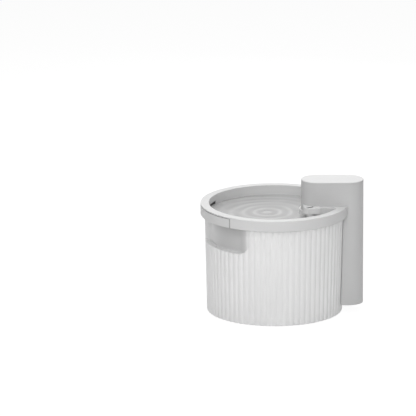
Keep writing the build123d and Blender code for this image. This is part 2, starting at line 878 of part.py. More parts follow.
with BuildPart() as filter_case:
    with BuildSketch(Plane.XY.offset(filter_bottom)):
        add(sector(filter_inner, filter_outer, filter_start_angle, filter_end_angle))
    extrude(amount=filter_height)
    with BuildSketch(Plane.XY.offset(filter_top - peg_length - peg_seat)):
        with Locations(*[polar(peg_circle, angle) for angle in peg_angles]):
            Circle(peg_radius + filter_wall)
    extrude(amount=peg_length + peg_seat)
    with BuildSketch(Plane.XY.offset(filter_bottom + filter_wall)):
        add(filter_layer(0))
    extrude(amount=filter_height, mode=Mode.SUBTRACT)
    with BuildSketch(Plane.XY.offset(filter_top - peg_length - slip_gap)):
        with Locations(*[polar(peg_circle, angle) for angle in peg_angles]):
            Circle(peg_radius + fit_gap)
    extrude(amount=peg_length + slip_gap, mode=Mode.SUBTRACT)
    with BuildSketch(Plane.XY.offset(filter_bottom)):
        slot_pitch = (filter_end_angle - filter_start_angle) / (filter_slots + 1)
        for step in range(filter_slots):
            middle = filter_start_angle + (step + 1) * slot_pitch
            add(
                sector(
                    filter_inner + filter_slot_margin,
                    filter_outer - filter_slot_margin,
                    middle - filter_slot_angle / 2,
                    middle + filter_slot_angle / 2,
                )
            )
    extrude(amount=filter_wall, mode=Mode.SUBTRACT)
filter_case.part.label = "filter_case"
export_step(filter_case.part, "parts/filter_case.step")

core_bottom = filter_bottom + filter_wall + layer_gap
cotton_bottom = filter_top - cotton_drop - cotton_height
with BuildPart() as filter_core:
    with BuildSketch(Plane.XY.offset(core_bottom)):
        add(filter_layer(layer_gap))
    extrude(amount=cotton_bottom - layer_gap - core_bottom)
filter_core.part.label = "filter_core"
export_step(filter_core.part, "parts/filter_core.step")

with BuildPart() as filter_cotton:
    with BuildSketch(Plane.XY.offset(cotton_bottom)):
        add(filter_layer(layer_gap))
    extrude(amount=cotton_height)
filter_cotton.part.label = "filter_cotton"
export_step(filter_cotton.part, "parts/filter_cotton.step")


# ---------------------------------------------------------------- tower housing
def dock_solid(skin):
    """The room that the tower leaves for the tank's wall and for the water, grown by a skin."""
    gap = dock_gap + skin
    low = tower_bottom - over
    with BuildPart() as room:
        with BuildSketch(Plane.XZ):
            with BuildLine():
                Polyline(
                    (0, low),
                    (tank_radius(low) + gap, low),
                    (tank_radius(tank_top) + gap, tank_top + skin),
                    (tank_inner(tank_top) - gap, tank_top + skin),
                    (tank_inner(head_bottom) - gap, head_bottom + skin),
                    (0, head_bottom + skin),
                    close=True,
                )
            make_face()
        revolve(axis=Axis.Z)
    return room.part


dock_room = dock_solid(0)
dock_skin = dock_solid(tower_wall)

# The drive magnet, its motor and their bracket, behind the tank's wall
drive_near = tank_radius(pump_z + drive_magnet_radius) + dock_gap + tower_wall + slip_gap
bracket_x = drive_near + drive_magnet_length + bracket_gap
motor_x = bracket_x + bracket_thickness

# Places in the tower and on its back wall
holder_bottom = tower_bottom + cell_base
board_x = tower_x
board_bottom = tank_top + tower_wall + board_rise
board_z = board_bottom + board_height / 2
board_back = inner_half - board_drop
button_x = board_x - button_shift
lens_x = button_x + lens_spacing
post_reach = board_length / 2 - post_inset
boss_reach = inner_half - boss_inset
boss_top = tower_bottom + base_thickness + boss_height
port_x = tower_end_x - port_inset
port_z = tower_bottom + port_height
flap_axis_y = tower_half - flap_barrel
flap_axis_z = port_z - flap_length / 2


def facing_back(y):
    """A plane that faces along -Y: its X is the tower's X and its Y is up."""
    return Plane(origin=(0, y, 0), x_dir=(1, 0, 0), z_dir=(0, -1, 0))


def base_screw_circles(radius):
    """Circles of one radius on the base cover's screws."""
    with BuildSketch() as circles:
        with Locations((tower_end_x, 0)):
            with PolarLocations(
                boss_reach, base_screw_count, start_angle=-90, angular_range=180, endpoint=True
            ):
                Circle(radius)
    return circles.sketch


def board_circles(radius):
    """Circles of one radius on the control board's screws."""
    with BuildSketch() as circles:
        with Locations((board_x - post_reach, board_z), (board_x + post_reach, board_z)):
            Circle(radius)
    return circles.sketch


def flap_hinge(reach):
    """A plane square to the port cover's hinge, at a distance towards -X from the port's middle."""
    return Plane(origin=(port_x - reach, flap_axis_y, flap_axis_z), x_dir=(0, 1, 0), z_dir=(1, 0, 0))


with BuildPart() as housing_cavity:
    with BuildSketch(Plane.XY.offset(tower_bottom - over)):
        with Locations((tower_x, 0)):
            SlotOverall(inner_length, inner_width)
    extrude(amount=housing_top - tower_bottom + 2 * over)
    add(dock_skin, mode=Mode.SUBTRACT)

with BuildPart() as tower_housing:
    with BuildSketch(Plane.XY.offset(tower_bottom)):
        with Locations((tower_x, 0)):
            SlotOverall(tower_length, tower_width)
    extrude(amount=housing_top - tower_bottom)
    add(dock_room, mode=Mode.SUBTRACT)
    add(housing_cavity.part, mode=Mode.SUBTRACT)
    # bosses for the base cover's screws
    with BuildSketch(Plane.XY.offset(tower_bottom + base_thickness)):
        add(base_screw_circles(boss_radius))
        with Locations((tower_x, 0)):
            SlotOverall(tower_length - tower_wall, tower_width - tower_wall, mode=Mode.INTERSECT)
        add(base_screw_circles(screw_radius + fit_gap), mode=Mode.SUBTRACT)
    extrude(amount=boss_height)
    # rails for the motor's bracket
    with BuildSketch(Plane.XY.offset(boss_top)):
        for rail_x in (bracket_x - rail_thickness / 2, motor_x + rail_thickness / 2):
            for side in (-1, 1):
                with Locations((rail_x, side * (inner_half - rail_proud / 2 + tower_wall / 4))):
                    Rectangle(rail_thickness, rail_proud + tower_wall / 2)
    extrude(amount=2 * (pump_z - boss_top))
    # ledge under the battery holder
    with BuildSketch(Plane.XY.offset(holder_bottom - ledge_height)):
        with Locations((tower_end_x, 0)):
            Circle(inner_half + tower_wall / 2)
            Circle(inner_half - ledge_proud, mode=Mode.SUBTRACT)
        with Locations((tower_end_x + inner_width, 0)):
            Rectangle(2 * inner_width, 2 * inner_width, mode=Mode.INTERSECT)
    extrude(amount=ledge_height)
    # posts for the control board
    with BuildSketch(facing_back(inner_half + tower_wall / 2)):
        add(board_circles(post_radius))
    extrude(amount=inner_half + tower_wall / 2 - board_back)
    with BuildSketch(facing_back(board_back + board_screw_depth)):
        add(board_circles(board_screw_radius + fit_gap))
    extrude(amount=board_screw_depth, mode=Mode.SUBTRACT)
    # pad behind the charging port's flap
    with BuildSketch(facing_back(inner_half + tower_wall / 2)):
        with Locations((port_x, port_z)):
            Rectangle(flap_width + 2 * pad_margin, flap_length + 2 * pad_overlap)
    extrude(amount=pad_depth + tower_wall / 2)
    # holes for the button, the lens and the port
    with BuildSketch(facing_back(tower_half + over)):
        with Locations((button_x, board_z)):
            Circle(button_radius + 3 * fit_gap)
        with Locations((lens_x, board_z)):
            Circle(lens_radius + fit_gap)
    extrude(amount=tower_wall + 2 * over, mode=Mode.SUBTRACT)
    with BuildSketch(facing_back(tower_half + over)):
        with Locations((port_x, port_z)):
            Rectangle(port_width + 2 * fit_gap, port_length + 2 * fit_gap)
    extrude(amount=tower_wall + pad_depth + 2 * over, mode=Mode.SUBTRACT)
    with BuildSketch(facing_back(tower_half + over)):
        with Locations((port_x, port_z)):
            Rectangle(flap_width + 2 * flap_gap, flap_length + 2 * flap_gap)
    extrude(amount=over + flap_thickness, mode=Mode.SUBTRACT)
    with BuildSketch(facing_back(tower_half + over)):
        with Locations((port_x, flap_axis_z)):
            Rectangle(flap_width + 2 * flap_gap, 2 * (flap_barrel + slip_gap))
    extrude(amount=over + 2 * flap_barrel + flap_gap, mode=Mode.SUBTRACT)
    with BuildSketch(flap_hinge(flap_width / 2 + flap_pin_seat + fit_gap)):
        Circle(flap_pin_radius + fit_gap)
    extrude(amount=flap_width + 2 * (flap_pin_seat + fit_gap), mode=Mode.SUBTRACT)
tower_housing.part.label = "tower_housing"
export_step(tower_housing.part, "parts/tower_housing.step")

with BuildPart() as tower_cap:
    with BuildSketch(Plane.XY.offset(tower_top - cap_thickness)):
        with Locations((tower_x, 0)):
            SlotOverall(tower_length, tower_width)
    extrude(amount=cap_thickness)
    fillet(tower_cap.faces().sort_by(Axis.Z)[-1].edges(), radius=cap_edge)
    with BuildSketch(Plane.XY.offset(tower_top - cap_thickness)):
        with Locations((tower_x, 0)):
            SlotOverall(inner_length - slip_gap, inner_width - slip_gap)
            SlotOverall(
                inner_length - slip_gap - 2 * cap_plug_wall,
                inner_width - slip_gap - 2 * cap_plug_wall,
                mode=Mode.SUBTRACT,
            )
    extrude(amount=-cap_plug)
tower_cap.part.label = "tower_cap"
export_step(tower_cap.part, "parts/tower_cap.step")

with BuildPart() as cap_seal:
    with BuildSketch(Plane.XY.offset(housing_top)):
        with Locations((tower_x, 0)):
            SlotOverall(tower_length - 2 * seal_inset, tower_width - 2 * seal_inset)
            SlotOverall(inner_length, inner_width, mode=Mode.SUBTRACT)
    extrude(amount=cap_seam)
cap_seal.part.label = "cap_seal"
export_step(cap_seal.part, "parts/cap_seal.step")

base_cover_near = tank_radius(tower_bottom + base_thickness) + dock_gap + tower_wall + slip_gap / 2
with BuildPart() as tower_base_cover:
    with BuildSketch(Plane.XY.offset(tower_bottom)):
        with Locations((tower_x, 0)):
            SlotOverall(inner_length - slip_gap, inner_width - slip_gap)
        Circle(base_cover_near, mode=Mode.SUBTRACT)
        add(base_screw_circles(screw_radius + fit_gap), mode=Mode.SUBTRACT)
    extrude(amount=base_thickness)
    with BuildSketch(Plane.XY.offset(tower_bottom)):
        add(base_screw_circles(head_radius + fit_gap))
    extrude(amount=head_depth, mode=Mode.SUBTRACT)
tower_base_cover.part.label = "tower_base_cover"
export_step(tower_base_cover.part, "parts/tower_base_cover.step")

with BuildPart() as base_cover_screws:
    with BuildSketch(Plane.XY.offset(tower_bottom)):
        add(base_screw_circles(head_radius))
    extrude(amount=head_depth)
    with BuildSketch(Plane.XY.offset(tower_bottom + head_depth)):
        add(base_screw_circles(screw_radius))
    extrude(amount=screw_length - head_depth)
    with BuildSketch(Plane.XY.offset(tower_bottom)):
        with Locations((tower_end_x, 0)):
            with PolarLocations(
                boss_reach, base_screw_count, start_angle=-90, angular_range=180, endpoint=True
            ):
                Rectangle(cross_length, cross_width)
                Rectangle(cross_width, cross_length)
    extrude(amount=cross_depth, mode=Mode.SUBTRACT)
base_cover_screws.part.label = "base_cover_screws"
export_step(base_cover_screws.part, "parts/base_cover_screws.step")

# ---------------------------------------------------------------- battery
cell_bottom = holder_bottom + holder_shelf
holder_top = cell_bottom + holder_height
cell_y = cell_radius + cell_gap
cell_x = tower_end_x + sqrt((inner_half - cell_radius - cell_gap) ** 2 - cell_y**2)
holder_near = tank_radius(holder_top) + dock_gap + tower_wall + slip_gap

with BuildPart() as battery_cells:
    with BuildSketch(Plane.XY.offset(cell_bottom)):
        with Locations((cell_x, cell_y), (cell_x, -cell_y)):
            Circle(cell_radius)
    extrude(amount=cell_length)
    with BuildSketch(Plane.XY.offset(cell_bottom + cell_length)):
        with Locations((cell_x, cell_y), (cell_x, -cell_y)):
            Circle(cell_end_radius)
    extrude(amount=cell_end_height)
battery_cells.part.label = "battery_cells"
export_step(battery_cells.part, "parts/battery_cells.step")

with BuildPart() as battery_holder:
    with BuildSketch(Plane.XY.offset(holder_bottom)):
        with Locations((tower_end_x, 0)):
            Circle(inner_half - slip_gap)
        with Locations((holder_near + inner_width, 0)):
            Rectangle(2 * inner_width, 2 * inner_width, mode=Mode.INTERSECT)
    extrude(amount=holder_top - holder_bottom)
    with BuildSketch(Plane.XY.offset(cell_bottom)):
        with Locations((cell_x + inner_half, 0)):
            Rectangle(inner_width, 2 * inner_width)
        with Locations((cell_x, cell_y), (cell_x, -cell_y)):
            Circle(cell_radius + 2 * fit_gap)
    extrude(amount=holder_height + over, mode=Mode.SUBTRACT)
battery_holder.part.label = "battery_holder"
export_step(battery_holder.part, "parts/battery_holder.step")

# ---------------------------------------------------------------- control board, button and lens
with BuildPart() as control_board:
    with BuildSketch(facing_back(board_back)):
        with Locations((board_x, board_z)):
            Rectangle(board_length, board_height)
        add(board_circles(board_screw_radius + fit_gap), mode=Mode.SUBTRACT)
    extrude(amount=board_thickness)
control_board.part.label = "control_board"
export_step(control_board.part, "parts/control_board.step")

with BuildPart() as board_screws:
    with BuildSketch(facing_back(board_back - board_thickness)):
        add(board_circles(board_screw_head))
    extrude(amount=board_screw_radius)
    with BuildSketch(facing_back(board_back + board_screw_depth - board_screw_tip)):
        add(board_circles(board_screw_radius))
    extrude(amount=board_screw_depth - board_screw_tip + board_thickness)
board_screws.part.label = "board_screws"
export_step(board_screws.part, "parts/board_screws.step")

with BuildPart() as board_components:
    with BuildSketch(facing_back(board_back - board_thickness)):
        for shift, rise, width, height in chips:
            with Locations((board_x + shift, board_z + rise)):
                Rectangle(width, height)
    extrude(amount=chip_height)
board_components.part.label = "board_components"
export_step(board_components.part, "parts/board_components.step")

button_inside = inner_half - button_flange_thickness
switch_top = button_inside - button_travel - fit_gap
with BuildPart() as tact_switch:
    with BuildSketch(facing_back(switch_top)):
        with Locations((button_x, board_z)):
            Circle(switch_stem_radius)
    extrude(amount=switch_stem_length)
    with BuildSketch(facing_back(switch_top - switch_stem_length)):
        with Locations((button_x, board_z)):
            Rectangle(switch_size, switch_size)
    extrude(amount=switch_top - switch_stem_length - board_back)
tact_switch.part.label = "tact_switch"
export_step(tact_switch.part, "parts/tact_switch.step")

with BuildPart() as power_button:
    with BuildSketch(facing_back(tower_half + button_proud)):
        with Locations((button_x, board_z)):
            Circle(button_radius)
    extrude(amount=tower_half + button_proud - button_inside)
    fillet(power_button.faces().sort_by(Axis.Y)[-1].edges(), radius=button_edge)
    with BuildSketch(facing_back(inner_half)):
        with Locations((button_x, board_z)):
            Circle(button_radius + button_flange)
    extrude(amount=button_flange_thickness)
power_button.part.label = "power_button"
export_step(power_button.part, "parts/power_button.step")

with BuildPart() as status_lens:
    with BuildSketch(facing_back(tower_half + lens_proud)):
        with Locations((lens_x, board_z)):
            Circle(lens_radius)
    extrude(amount=tower_wall + lens_proud)
    with BuildSketch(facing_back(inner_half)):
        with Locations((lens_x, board_z)):
            Circle(lens_radius + lens_flange)
    extrude(amount=lens_flange_thickness)
status_lens.part.label = "status_lens"
export_step(status_lens.part, "parts/status_lens.step")

# ---------------------------------------------------------------- charging port and its flap
port_face = tower_half - flap_thickness - slip_gap
port_flange = inner_half - pad_depth
with BuildPart() as charging_port:
    with BuildSketch(facing_back(port_face)):
        with Locations((port_x, port_z)):
            SlotOverall(port_length, port_width, rotation=90)
            SlotOverall(
                port_length - 2 * port_shell,
                port_width - 2 * port_shell,
                rotation=90,
                mode=Mode.SUBTRACT,
            )
    extrude(amount=port_face - port_flange)
    with BuildSketch(facing_back(port_flange)):
        with Locations((port_x, port_z)):
            Rectangle(port_width + 2 * port_flange_margin, port_length + 2 * port_flange_margin)
    extrude(amount=port_flange_thickness)
    with BuildSketch(facing_back(port_face - port_tongue_set)):
        with Locations((port_x, port_z)):
            Rectangle(port_tongue, port_length - port_width)
    extrude(amount=port_face - port_tongue_set - port_flange)
charging_port.part.label = "charging_port"
export_step(charging_port.part, "parts/charging_port.step")

with BuildPart() as port_cover:
    with BuildSketch(facing_back(tower_half)):
        with Locations((port_x, port_z)):
            Rectangle(flap_width, flap_length)
    extrude(amount=flap_thickness)
    with BuildSketch(flap_hinge(flap_width / 2)):
        Circle(flap_barrel)
    extrude(amount=flap_width)
    with BuildSketch(flap_hinge(flap_width / 2)):
        Circle(flap_pin_radius + fit_gap)
    extrude(amount=flap_width, mode=Mode.SUBTRACT)
port_cover.part.label = "port_cover"
export_step(port_cover.part, "parts/port_cover.step")

with BuildPart() as port_cover_pin:
    with BuildSketch(flap_hinge(flap_width / 2 + flap_pin_seat)):
        Circle(flap_pin_radius)
    extrude(amount=flap_width + 2 * flap_pin_seat)
port_cover_pin.part.label = "port_cover_pin"
export_step(port_cover_pin.part, "parts/port_cover_pin.step")

# ---------------------------------------------------------------- drive motor behind the tank's wall

with BuildPart() as drive_magnet:
    with BuildSketch(across(drive_near)):
        Circle(drive_magnet_radius)
        Circle(shaft_radius + fit_gap, mode=Mode.SUBTRACT)
    extrude(amount=drive_magnet_length)
drive_magnet.part.label = "drive_magnet"
export_step(drive_magnet.part, "parts/drive_magnet.step")

with BuildPart() as motor_bracket:
    with BuildSketch(across(bracket_x)):
        Rectangle(inner_width - 2 * slip_gap, 2 * (pump_z - boss_top))
        Circle(motor_boss_radius + fit_gap, mode=Mode.SUBTRACT)
        with PolarLocations(motor_screw_reach, 2):
            Circle(motor_screw_radius + fit_gap, mode=Mode.SUBTRACT)
    extrude(amount=bracket_thickness)
    with BuildSketch(across(bracket_x)):
        with PolarLocations(motor_screw_reach, 2):
            Circle(motor_head_radius + fit_gap)
    extrude(amount=motor_head_depth, mode=Mode.SUBTRACT)
    with BuildSketch(across(motor_x)):
        Circle(motor_radius + fit_gap + bracket_ring_wall)
        Circle(motor_radius + fit_gap, mode=Mode.SUBTRACT)
    extrude(amount=bracket_ring_length)
motor_bracket.part.label = "motor_bracket"
export_step(motor_bracket.part, "parts/motor_bracket.step")

with BuildPart() as drive_motor:
    with BuildSketch(across(motor_x)):
        Circle(motor_radius)
    extrude(amount=motor_length)
    fillet(drive_motor.faces().sort_by(Axis.X)[-1].edges(), radius=motor_edge)
    with BuildSketch(across(motor_x)):
        Circle(motor_boss_radius)
    extrude(amount=-bracket_thickness)
    with BuildSketch(across(motor_x)):
        Circle(shaft_radius)
    extrude(amount=drive_near - motor_x)
    with BuildSketch(across(motor_x)):
        with PolarLocations(motor_screw_reach, 2):
            Circle(motor_screw_radius + fit_gap)
    extrude(amount=motor_screw_length, mode=Mode.SUBTRACT)
drive_motor.part.label = "drive_motor"
export_step(drive_motor.part, "parts/drive_motor.step")

with BuildPart() as motor_screws:
    with BuildSketch(across(bracket_x)):
        with PolarLocations(motor_screw_reach, 2):
            Circle(motor_head_radius)
    extrude(amount=motor_head_depth)
    with BuildSketch(across(bracket_x)):
        with PolarLocations(motor_screw_reach, 2):
            Circle(motor_screw_radius)
    extrude(amount=motor_screw_length)
motor_screws.part.label = "motor_screws"
export_step(motor_screws.part, "parts/motor_screws.step")
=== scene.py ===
import math

import bmesh
import bpy
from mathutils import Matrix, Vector


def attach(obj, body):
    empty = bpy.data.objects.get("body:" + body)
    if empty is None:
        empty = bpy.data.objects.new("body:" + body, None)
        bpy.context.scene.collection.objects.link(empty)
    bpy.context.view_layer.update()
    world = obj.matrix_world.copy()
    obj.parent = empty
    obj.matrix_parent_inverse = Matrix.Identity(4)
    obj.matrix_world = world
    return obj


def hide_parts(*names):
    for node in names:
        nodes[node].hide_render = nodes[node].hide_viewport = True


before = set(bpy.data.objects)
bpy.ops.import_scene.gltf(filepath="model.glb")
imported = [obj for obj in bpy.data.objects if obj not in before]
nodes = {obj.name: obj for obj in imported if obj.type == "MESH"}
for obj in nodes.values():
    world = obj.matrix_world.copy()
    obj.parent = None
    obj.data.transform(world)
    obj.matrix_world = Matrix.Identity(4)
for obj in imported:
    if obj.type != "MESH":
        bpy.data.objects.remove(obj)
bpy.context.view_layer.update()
scene = bpy.context.scene
MM = 0.001
WHITE = (1.0, 1.0, 1.0)
UPWARD = (0.0, 0.0, 1.0)

# ---------------------------------------------------------------- node materials
# nearly all of a noise pattern's values lie between these two
NOISE_LOW = 0.3
NOISE_HIGH = 0.7
PLASTIC_IOR = 1.49
makers = {}


class Maker:
    """A material's node tree under construction, with short calls for the nodes it needs."""

    def __init__(self, name):
        self.material = bpy.data.materials.new(name)
        self.material.use_nodes = True
        self.tree = self.material.node_tree
        self.tree.nodes.clear()
        self.output = self.add("ShaderNodeOutputMaterial")
        self.shader = self.add("ShaderNodeBsdfPrincipled")
        self.link(self.shader.outputs["BSDF"], self.output.inputs["Surface"])
        self.place = self.add("ShaderNodeTexCoord").outputs["Object"]
        makers[name] = self

    def add(self, kind, **inputs):
        """A node, with fixed values on the inputs that are named."""
        node = self.tree.nodes.new(kind)
        for name, value in inputs.items():
            node.inputs[name.replace("_", " ")].default_value = value
        return node

    def link(self, source, target):
        self.tree.links.new(source, target)

    def mapped(self, **change):
        """The object's coordinates, scaled or rotated."""
        mapping = self.add("ShaderNodeMapping", **change)
        self.link(self.place, mapping.inputs["Vector"])
        return mapping.outputs["Vector"]

    def noise(self, scale, detail=3.0, roughness=0.55, stretch=None):
        """A noise pattern of scale cycles per metre; stretch multiplies them along each axis."""
        node = self.add("ShaderNodeTexNoise", Scale=scale, Detail=detail, Roughness=roughness)
        place = self.mapped(Scale=stretch) if stretch else self.place
        self.link(place, node.inputs["Vector"])
        return node.outputs["Fac"]

    def cells(self, scale):
        """The outputs of a cell pattern, for grains, pores and fibres."""
        node = self.add("ShaderNodeTexVoronoi", Scale=scale)
        self.link(self.place, node.inputs["Vector"])
        return node.outputs

    def ramp(self, fac, *stops):
        """Colours or grey levels along a pattern's values."""
        node = self.add("ShaderNodeValToRGB")
        while len(node.color_ramp.elements) < len(stops):
            node.color_ramp.elements.new(0.5)
        for element, (place, colour) in zip(node.color_ramp.elements, stops):
            colour = colour if isinstance(colour, tuple) else 3 * (colour,)
            element.position = place
            element.color = (*colour, 1.0)
        self.link(fac, node.inputs["Fac"])
        return node.outputs["Color"]

    def range(self, fac, low, high, start=NOISE_LOW, end=NOISE_HIGH):
        """A pattern's values from start to end as values from low to high, held at both ends."""
        node = self.add(
            "ShaderNodeMapRange", From_Min=start, From_Max=end, To_Min=low, To_Max=high
        )
        self.link(fac, node.inputs["Value"])
        return node.outputs["Result"]

    def math(self, operation, *values):
        """The result of a math node on patterns and plain numbers."""
        node = self.add("ShaderNodeMath")
        node.operation = operation
        for socket, value in zip(node.inputs, values):
            if isinstance(value, (int, float)):
                socket.default_value = value
            else:
                self.link(value, socket)
        return node.outputs["Value"]

    def vector(self, operation, first, second=None):
        """The outputs of a vector math node on a pattern and, if given, a fixed vector."""
        node = self.add("ShaderNodeVectorMath")
        node.operation = operation
        self.link(first, node.inputs[0])
        if second:
            node.inputs[1].default_value = second
        return node.outputs

    def along(self, direction):
        """How far a place is along a direction from the object's origin."""
        return self.vector("DOT_PRODUCT", self.place, direction)["Value"]

    def from_axis(self, centre):
        """How far a place is from an upright axis."""
        shift = self.vector("SUBTRACT", self.place, (*centre, 0.0))["Vector"]
        flat = self.vector("MULTIPLY", shift, (1.0, 1.0, 0.0))["Vector"]
        return self.vector("LENGTH", flat)["Value"]

    def bump(self, height, depth):
        """Fine relief, up to depth millimetres."""
        node = self.add("ShaderNodeBump", Strength=1.0, Distance=depth * MM)
        self.link(height, node.inputs["Height"])
        self.link(node.outputs["Normal"], self.shader.inputs["Normal"])

    def set(self, **values):
        """Sets or links the shader's inputs."""
        for name, value in values.items():
            socket = self.shader.inputs[name.replace("_", " ")]
            if isinstance(value, bpy.types.NodeSocket):
                self.link(value, socket)
            else:
                socket.default_value = value


def grey(level):
    """The linear value of a grey that shows at this level out of 255, by the sRGB curve."""
    share = level / 255
    return ((share + 0.055) / 1.055) ** 2.4 if share > 0.04045 else share / 12.92


def tinted(value, tint):
    return tuple(value * t for t in tint)


def moulded(
    name, level, tint=WHITE, gloss=0.42, grain=1400.0, grain_depth=0.012, spread=0.012
):
    """Moulded plastic: a faint drift of colour, a fine spark-eroded grain, and gloss that varies.

    The colour drifts by the share called spread, the grain is in cycles per metre, its depth is
    in millimetres, and gloss is the shader's mean roughness.
    """
    drift_scale = 14.0
    gloss_scale = 60.0
    gloss_drift = 0.04
    make = Maker(name)
    make.base = grey(level)
    light = tuple(min(1.0, c * (1 + spread)) for c in tinted(make.base, tint))
    dark = tuple(c * (1 - spread) for c in tinted(make.base, tint))
    drift = make.noise(drift_scale, detail=2.0)
    make.colour = make.ramp(drift, (NOISE_LOW, dark), (NOISE_HIGH, light))
    make.set(
        Base_Color=make.colour,
        Roughness=make.range(make.noise(gloss_scale), gloss - gloss_drift, gloss + gloss_drift),
        IOR=PLASTIC_IOR,
        Specular_IOR_Level=0.5,
    )
    make.bump(make.noise(grain, detail=4.0, roughness=0.7), grain_depth)
    return make


def rubber(name, level, tint=WHITE):
    make = moulded(name, level, tint, gloss=0.66, grain=2200.0, grain_depth=0.03, spread=0.05)
    make.set(Sheen_Weight=0.08)


def darken(make, share, depth):
    """Paints shade onto a moulded material: darkens it by up to depth where share, a pattern from 0
    to 1, says so.
    """
    mix = make.add("ShaderNodeMix")
    mix.data_type = "RGBA"
    make.link(share, mix.inputs["Factor"])
    make.link(make.colour, mix.inputs["A"])
    mix.inputs["B"].default_value = (*(3 * (make.base * (1 - depth),)), 1.0)
    make.colour = mix.outputs["Result"]
    make.set(Base_Color=make.colour)


def fibrous(name, level, tint, scale, depth, holes, dark):
    """Cotton or open foam: fibres or pores with gaps between, in relief, and with painted shade in
    the gaps' colour.

    The pattern's values up to holes are a gap, and dark is the share of the colour that is left
    under the painted shade.
    """
    fibre_scale = 0.7
    fibre_share = 0.5
    gap_edge = 0.3
    make = Maker(name)
    fibres = make.noise(scale * fibre_scale, detail=4.0, roughness=0.7)
    fibres = make.math("MULTIPLY", fibres, fibre_share)
    blend = make.math("ADD", fibres, make.cells(scale)["Distance"])
    base = grey(level)
    gap, solid = tinted(base * dark, tint), tinted(base, tint)
    make.set(
        Base_Color=make.ramp(blend, (holes, gap), (holes + gap_edge, solid)),
        Roughness=0.95,
        Sheen_Weight=0.25,
    )
    make.bump(blend, depth)


def granular(name, low, high, scale, depth):
    """Packed grains, each of its own grey."""
    grain_low = 0.2
    grain_high = 0.8
    make = Maker(name)
    grains = make.cells(scale)
    make.set(
        Base_Color=make.ramp(grains["Color"], (grain_low, grey(low)), (grain_high, grey(high))),
        Roughness=0.7,
    )
    make.bump(make.math("SUBTRACT", 1.0, grains["Distance"]), depth)


def metal(name, level, tint, rough, stretch, depth=0.01):
    """Bare metal, with brush or turning marks along one axis."""
    mark_scale = 900.0
    mark_shade = 0.86
    rough_spread = 0.06
    make = Maker(name)
    marks = make.noise(mark_scale, detail=2.0, roughness=0.6, stretch=stretch)
    base = grey(level)
    dark, light = tinted(base * mark_shade, tint), tinted(base, tint)
    make.set(
        Base_Color=make.ramp(marks, (NOISE_LOW, dark), (NOISE_HIGH, light)),
        Metallic=1.0,
        Roughness=make.range(marks, rough - rough_spread, rough + rough_spread),
    )
    make.bump(marks, depth)


# plain shells: how light each shows out of 255, and its roughness
for name, level, gloss in (
    ("tray_shell", 213, 0.40),
    ("tab_plastic", 213, 0.40),
    ("spout_plastic", 220, 0.38),
    ("tower_shell", 203, 0.44),
    ("tower_cap", 218, 0.40),
    ("filter_plastic", 226, 0.50),
    ("impeller_plastic", 214, 0.45),
    ("tank_shell", 237, 0.34),
):
    moulded(name, level, gloss=gloss)

# painted shade: the tank's finger recess is darkened where the rim's overhang and the recess's
# walls shade it, by the tones that are put on its mesh below
recess_painted_shade = 0.36
tank_make = makers["tank_shell"]
recess_shade_share = tank_make.add("ShaderNodeAttribute")
recess_shade_share.attribute_name = "recess"
darken(tank_make, recess_shade_share.outputs["Fac"], recess_painted_shade)

# painted shade: the tab and the tray beside it are darkened in narrow bands along the seams, for
# the shade in the gaps between them; these sizes are in metres from the tank's axis
tab_angle = math.radians(211.0)
tab_across = (-math.sin(tab_angle), math.cos(tab_angle), 0.0)
tab_outward = (math.cos(tab_angle), math.sin(tab_angle), 0.0)
tab_half = 0.0454
tab_reach = 0.105
seam_gap = 0.0005
seam_shade = 0.0008
seam_top = 0.184
seam_painted_shade = 0.5
skirt_inside = 0.1215
tab_make = makers["tab_plastic"]
beside = tab_make.math("ABSOLUTE", tab_make.along(tab_across))
tab_edge_shade = tab_make.range(beside, 0.0, 1.0, tab_half - seam_shade, tab_half - seam_shade / 2)
darken(tab_make, tab_edge_shade, seam_painted_shade)
# painted shade on the tray beside the seams: only outside the skirt's inner face, out past the
# tab's reach, and below the seams' top
tray_make = makers["tray_shell"]
beside = tray_make.math("ABSOLUTE", tray_make.along(tab_across))
seam_edge = tab_half + seam_gap
in_seam_shade = tray_make.range(beside, 1.0, 0.0, seam_edge + seam_shade / 2, seam_edge + seam_shade)
for comparison, measure, limit in (
    ("GREATER_THAN", tray_make.from_axis((0.0, 0.0)), skirt_inside),
    ("GREATER_THAN", tray_make.along(tab_outward), tab_reach),
    ("LESS_THAN", tray_make.along(UPWARD), seam_top),
):
    mask = tray_make.math(comparison, measure, limit)
    in_seam_shade = tray_make.math("MULTIPLY", in_seam_shade, mask)
darken(tray_make, in_seam_shade, seam_painted_shade)

# painted shade: the inside of the spout's slot is darkened, for the shade deep in it; metres too
slot_middle = (0.060, -0.03425)
slot_reach = 0.0072
slot_top = 0.1862
slot_painted_shade = 0.72
spout_make = makers["spout_plastic"]
in_slot = spout_make.math("LESS_THAN", spout_make.from_axis(slot_middle), slot_reach)
below_top = spout_make.math("LESS_THAN", spout_make.along(UPWARD), slot_top)
darken(spout_make, spout_make.math("MULTIPLY", in_slot, below_top), slot_painted_shade)

